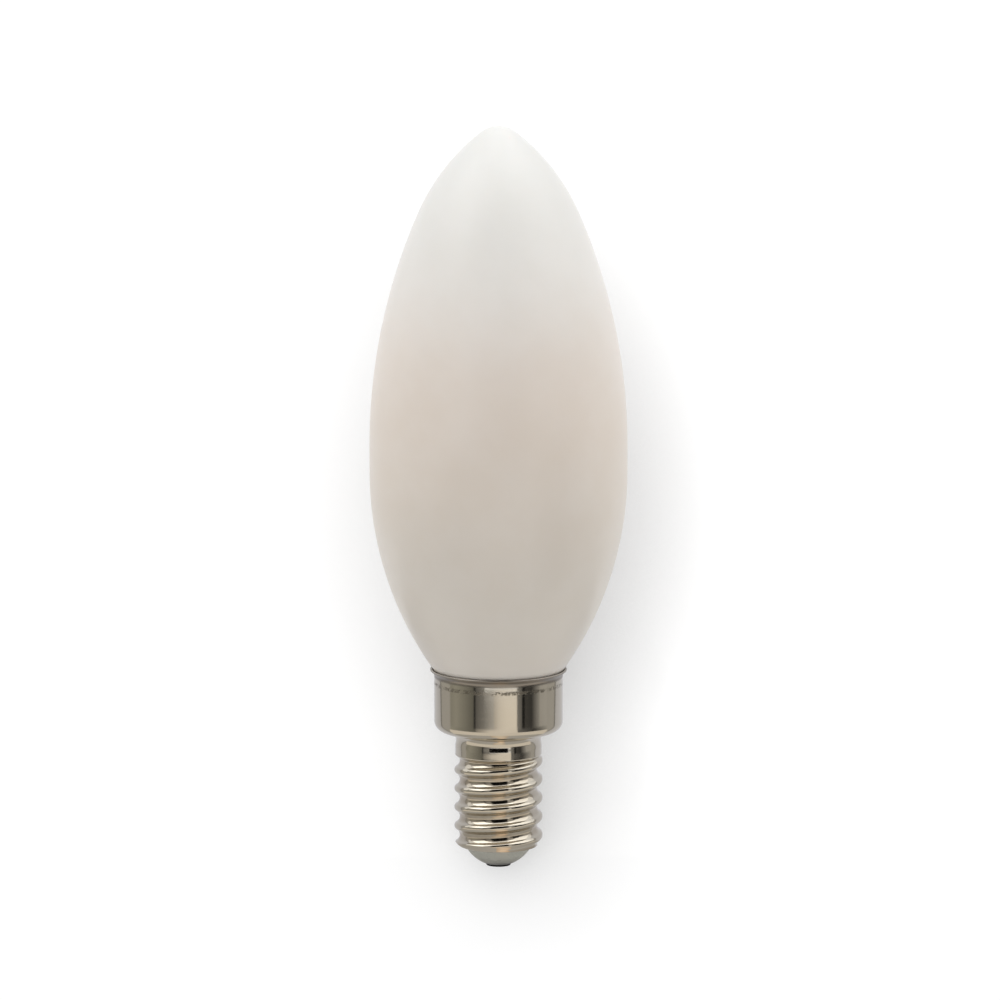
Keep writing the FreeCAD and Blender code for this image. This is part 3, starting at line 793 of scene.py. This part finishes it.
HALVINGS, PAPER_PLAY = 30, 0.02
least, most = 0.0, math.radians(30)
for _ in range(HALVINGS):
    lean = (least + most) / 2
    if reach_back(bulb_outline, lean) > reach_back(outer_face, lean):
        least = lean
    else:
        most = lean
paper_gap = reach_back(outer_face, lean) + PAPER_PLAY
along_paper = Vector((0, math.sin(lean), math.cos(lean)))
off_paper = Vector((0, -math.cos(lean), math.sin(lean)))
print("the paper leans by", round(math.degrees(lean), 1), "degrees")


def on_paper(side, up, lift):
    """A place on the paper, side millimetres from the middle and up metres along it."""
    return Vector((side * MM, 0, 0)) + along_paper * up + off_paper * (lift - paper_gap * MM)


# %% White paper and reflector
SHADE_TOWARDS, SHADE_REACH, SHADE_DEPTH = (-0.38, -1.0, 0.5), 0.017, 0.66


def white_finish(name, whiteness, shown, added):
    """White that takes soft shadows, and shows as plain white where nothing shades it.

    Lamps meet the whiteness. The eye and mirrors meet what is shown of it, and the added glow."""
    material = bpy.data.materials.new(name)
    material.use_nodes = True
    material.node_tree.nodes.clear()
    make = NodeMaker(material.node_tree)
    calc = make.calc
    paths = make.add("ShaderNodeLightPath").outputs
    seen = calc("MAXIMUM", paths["Is Camera Ray"], paths["Is Glossy Ray"])
    seen = calc("MAXIMUM", seen, paths["Is Transmission Ray"])
    towards = make.add("ShaderNodeCombineXYZ", dict(enumerate(SHADE_TOWARDS))).outputs[0]
    hidden = make.add("ShaderNodeAmbientOcclusion", {
        "Distance": SHADE_REACH, "Normal": towards,
    }, samples=3)
    lost = calc("MULTIPLY", SHADE_DEPTH, calc("SUBTRACT", 1.0, hidden.outputs["AO"]))
    shaded = calc("SUBTRACT", 1.0, lost)
    level = calc("SUBTRACT", whiteness, calc("MULTIPLY", seen, whiteness - shown))
    white = make.add("ShaderNodeBsdfDiffuse", {"Color": level})
    strength = calc("MULTIPLY", calc("MULTIPLY", seen, added), shaded)
    glow = make.add("ShaderNodeEmission", {"Color": (1, 1, 1, 1), "Strength": strength})
    surface = make.add("ShaderNodeAddShader", {0: white.outputs[0], 1: glow.outputs[0]}).outputs[0]
    behind = make.add("ShaderNodeNewGeometry").outputs["Backfacing"]
    clear = make.add("ShaderNodeBsdfTransparent")
    surface = make.add("ShaderNodeMixShader", {
        0: behind, 1: surface, 2: clear.outputs[0],
    }).outputs[0]
    make.add("ShaderNodeOutputMaterial", {"Surface": surface})
    return material


def stage_sheet(name, corners, material):
    """A flat sheet of the stage. It stops no lamp."""
    mesh = bpy.data.meshes.new(name)
    mesh.from_pydata(corners, [], [range(len(corners))])
    sheet = bpy.data.objects.new(name, mesh)
    sheet.data.materials.append(material)
    sheet.visible_shadow = False
    scene.collection.objects.link(sheet)
    return sheet


HALF = 1.5              # half the width of a sheet, in metres
sides = (-HALF, HALF, HALF, -HALF)
ends = (-HALF, -HALF, HALF, HALF)
paper_corners = [on_paper(side / MM, end, 0.0) for side, end in zip(sides, ends)]
paper = stage_sheet("paper", paper_corners, white_finish("paper_white", 0.9, 0.3, 0.81))
paper.visible_diffuse = False
reflector_corners = [(side, end, 0.0) for side, end in zip(sides, ends)]
reflector_white = white_finish("reflector_white", 0.85, 0.85, 0.07)
reflector = stage_sheet("reflector", reflector_corners, reflector_white)
reflector.visible_camera = False

# %% [markdown]
# ## Light
#
# Two large soft boxes at the sides and one overhead light the bulb. Together with the pale room
# they add up to about one, so that a colour shows as it is written. Bright metal shows the boxes as
# highlights. Between them it has to show something darker or it looks like white plastic, so light
# and dark cards stand round the bulb, as a product photographer would place them. They are seen in
# reflections only. They stand for a room whose real shape the photo doesn't show.

# %% Soft boxes
AIM = Vector((0.0, 0.0, 0.045))


def direction(azimuth, elevation):
    """A unit vector. Azimuth 0 is towards the front and grows towards the bulb's right."""
    a, e = math.radians(azimuth), math.radians(elevation)
    return Vector((math.sin(a) * math.cos(e), -math.cos(a) * math.cos(e), math.sin(e)))


def soft_box(name, azimuth, elevation, distance, width, height, radiance):
    """A rectangular lamp that faces the bulb. Radiance 1 looks as bright as plain white."""
    data = bpy.data.lights.new(name, "AREA")
    data.shape = "RECTANGLE"
    data.size, data.size_y = width, height
    data.energy = radiance * math.pi * width * height
    lamp = bpy.data.objects.new(name, data)
    towards = direction(azimuth, elevation)
    lamp.location = AIM + towards * distance
    lamp.rotation_euler = (-towards).to_track_quat("-Z", "Y").to_euler()
    lamp.visible_camera = False
    scene.collection.objects.link(lamp)
    return lamp


soft_box("left_box", -72, 45, 0.8, 0.62, 0.5, 1.8)
soft_box("right_box", 80, 45, 0.8, 0.75, 0.8, 1.1)
soft_box("top_box", 0, 84, 0.8, 0.7, 0.7, 0.9)

# %% Cards for the metal to reflect
def card_finish():
    """A finish whose brightness in a mirror is the tone painted on the card's points."""
    material = bpy.data.materials.new("card_tone")
    material.use_nodes = True
    material.node_tree.nodes.clear()
    make = NodeMaker(material.node_tree)
    tone = make.add("ShaderNodeAttribute", attribute_name="tone").outputs["Color"]
    glow = make.add("ShaderNodeEmission", {"Color": tone, "Strength": 1.0})
    make.add("ShaderNodeOutputMaterial", {"Surface": glow.outputs[0]})
    return material


card_tone = card_finish()
CARD_CENTRE = Vector((0.0, 0.0, 0.015))
ACROSS_STEP, UP_STEP, OUT_STEP = 5, 8, 0.02     # degrees across and up a card, or metres out
PALE = (1.0, 0.97, 0.92)
BEIGE = (1.0, 0.93, 0.83)
OLIVE = (1.0, 0.97, 0.84)
WARM = (1.0, 0.86, 0.7)
TAN = (1.0, 0.79, 0.6)
COOL = (1.0, 1.0, 1.04)


def on_wall(azimuth, elevation, distance):
    """A place on a wall round the cap."""
    return CARD_CENTRE + direction(azimuth, elevation) * distance


def on_floor(azimuth, radius, lift):
    """A place on the table."""
    return direction(azimuth, 0) * radius + Vector((0.0, 0.0, lift))


def card(name, place, azimuths, spans, distance, tones, tint=PALE, end_tone=None):
    """A card seen in reflections only, over a range of azimuths and of heights or radii.

    Its tone runs through the list of tones across it, and to end_tone at its far end."""
    step = UP_STEP if place is on_wall else OUT_STEP
    across = np.linspace(0, 1, 2 + int(abs(azimuths[1] - azimuths[0]) / ACROSS_STEP))
    outward = np.linspace(0, 1, 2 + int(abs(spans[1] - spans[0]) / step))
    vertices, paint = [], []
    for v in outward:
        for u in across:
            azimuth, reach = np.interp(u, (0, 1), azimuths), np.interp(v, (0, 1), spans)
            vertices.append(place(azimuth, reach, distance))
            tone = np.interp(u, np.linspace(0, 1, len(tones)), tones)
            if end_tone is not None:
                tone += (end_tone - tone) * v
            paint += [*(tone * np.array(tint)), 1.0]
    count = len(across)
    faces = [
        (row * count + i, row * count + i + 1, (row + 1) * count + i + 1, (row + 1) * count + i)
        for row in range(len(outward) - 1) for i in range(count - 1)
    ]
    mesh = bpy.data.meshes.new(name)
    mesh.from_pydata(vertices, [], faces)
    mesh.attributes.new("tone", "FLOAT_COLOR", "POINT").data.foreach_set("color", paint)
    mesh.materials.append(card_tone)
    piece = bpy.data.objects.new(name, mesh)
    piece.visible_camera = piece.visible_diffuse = piece.visible_shadow = False
    piece.visible_transmission = piece.visible_volume_scatter = False
    scene.collection.objects.link(piece)
    return piece


NEAR, FAR, ROOM = 0.1, 0.3, 1.2
LOW, HIGH = -8.8, 9
FOOT_SHADE, SHADE, SHEET_EDGE, TABLE_EDGE = 0.0105, 0.022, 0.06, 0.11
TABLE = (SHEET_EDGE, TABLE_EDGE)
FLOOR_SHADE = (0.55, 0.48, 0.5, 0.48, 0.55)
FLOOR_LIGHT = (0.86, 0.84, 0.8, 0.84, 0.86)
LIFT = 0.0003           # a card lies this far off the table or the paper
PAPER_ENDS = (-0.03, 0.027)
PAPER_SHADE = (0.46, 0.46, 0.47, 0.46, 0.46, 0.47, 0.47, 0.46, 0.46)
PAPER_LIGHT = (0.55, 0.66, 0.66, 0.66, 0.66, 0.58)
cards = [
    card("room_walls", on_wall, (-180, 180), (5, 90), ROOM, (0.42, 0.42), end_tone=0.6),
    card("dark_behind_camera", on_wall, (-25, 25), (-4, 52), FAR, (0.004, 0.004)),
    card("paper_shade", on_paper, (-120, 120), PAPER_ENDS, LIFT, PAPER_SHADE),
    card("paper_near", on_paper, (-24, 27), PAPER_ENDS, 2 * LIFT, PAPER_LIGHT, COOL),
    # two thin dark lines on the paper, seen in reflections only: painted shade at the edge of the
    # shade near the bulb
    card("left_shade_line", on_paper, (-27, -24), PAPER_ENDS, 2 * LIFT, (0.26, 0.26)),
    card("right_shade_line", on_paper, (27, 30.5), PAPER_ENDS, 2 * LIFT, (0.26, 0.26)),
    card("left_far", on_wall, (-110, -98), (LOW, HIGH), NEAR, (0.48, 0.44)),
    card("left_olive", on_wall, (-98, -60), (LOW, HIGH), NEAR, (0.3, 0.38, 0.27), OLIVE),
    card("left_shade", on_wall, (-60, -43.5), (LOW, HIGH), NEAR, (0.27, 0.16), OLIVE),
    card("left_edge", on_wall, (-43.5, -40), (LOW, 24), NEAR, (0.03, 0.03)),
    card("left_inner", on_wall, (-40, -8), (LOW, -4), NEAR, (0.13, 0.26, 0.52)),
    card("left_corner", on_wall, (-40, -24), (-4, 24), NEAR, (0.13, 0.3), end_tone=0.4),
    card("front_table", on_wall, (-8, 33), (LOW, -4), NEAR, (0.58, 0.86, 0.96, 0.98, 0.98), BEIGE),
    card("right_inner", on_wall, (32, 41), (LOW, 12), NEAR, (0.25, 0.17)),
    card("right_edge", on_wall, (41, 46), (LOW, 26), NEAR, (0.01, 0.01)),
    card("right_dark", on_wall, (46, 60), (LOW, 24), NEAR, (0.07, 0.05)),
    card("right_shade", on_wall, (60, 76), (LOW, 16), NEAR, (0.06, 0.38)),
    card("right_grey", on_wall, (76, 110), (LOW, HIGH), NEAR, (0.46, 0.54)),
    card("floor_shade", on_floor, (0, 360), (0.0, SHADE), LIFT, FLOOR_SHADE),
    card("floor_sheet", on_floor, (0, 360), (SHADE, SHEET_EDGE), LIFT, FLOOR_LIGHT, BEIGE),
    card("floor_left", on_floor, (-128, -40), TABLE, LIFT, (0.5, 0.36, 0.16), OLIVE),
    card("floor_front", on_floor, (-40, 33), TABLE, LIFT, (0.3, 0.84, 0.92, 0.92), BEIGE),
    card("floor_right", on_floor, (33, 128), TABLE, LIFT, (0.2, 0.05, 0.45, 0.54)),
    card(
        "warm_floor", on_floor, (-16, 20), (FOOT_SHADE, SHADE), 2 * LIFT,
        (0.6, 0.86, 0.86, 0.6), WARM,
    ),
    card(
        "tan_foot", on_floor, (-4, 24), (0.004, FOOT_SHADE), 2 * LIFT,
        (0.7, 1.0, 1.0, 0.7), TAN,
    ),
]
print(len(cards), "cards stand round the bulb")

# %% [markdown]
# ## The room and the camera
#
# The world is a pale room for the light that it gives, and plain white where the eye or a mirror
# looks past everything. The camera looks down by 10 degrees through a very long lens, which keeps
# the bulb's outline almost free of perspective.

# %% World
world = bpy.data.worlds.new("pale_room")
scene.world = world
world.use_nodes = True
world.node_tree.nodes.clear()
make = NodeMaker(world.node_tree)
paths = make.add("ShaderNodeLightPath").outputs
seen = make.calc("MAXIMUM", paths["Is Camera Ray"], paths["Is Glossy Ray"])
seen = make.calc("MAXIMUM", seen, paths["Is Transmission Ray"])
ROOM_LIGHT = 0.58
strength = make.calc("ADD", ROOM_LIGHT, make.calc("MULTIPLY", seen, 1.0 - ROOM_LIGHT))
room = make.add("ShaderNodeBackground", {"Color": (1, 1, 1, 1), "Strength": strength})
make.add("ShaderNodeOutputWorld", {"Surface": room.outputs[0]})

# %% Camera
SENSOR, PICTURE_WIDTH = 36.0, 133.37            # millimetres, on the sensor and at the bulb
CAMERA_DISTANCE, CAMERA_HEIGHT, LOOK_DOWN = 1.5, 0.05, 10

camera_data = bpy.data.cameras.new("camera")
camera_data.sensor_width = SENSOR
camera_data.lens = SENSOR * (CAMERA_DISTANCE / MM) / PICTURE_WIDTH
camera_data.shift_x, camera_data.shift_y = 0.0015, -0.0026
camera_data.clip_start, camera_data.clip_end = 0.1, 10.0
camera = bpy.data.objects.new("camera", camera_data)
scene.collection.objects.link(camera)
view_from = direction(0, LOOK_DOWN)
camera.location = Vector((0, 0, CAMERA_HEIGHT)) + view_from * CAMERA_DISTANCE
camera.rotation_euler = (-view_from).to_track_quat("-Z", "Y").to_euler()
scene.camera = camera
scene.view_settings.view_transform = "Standard"
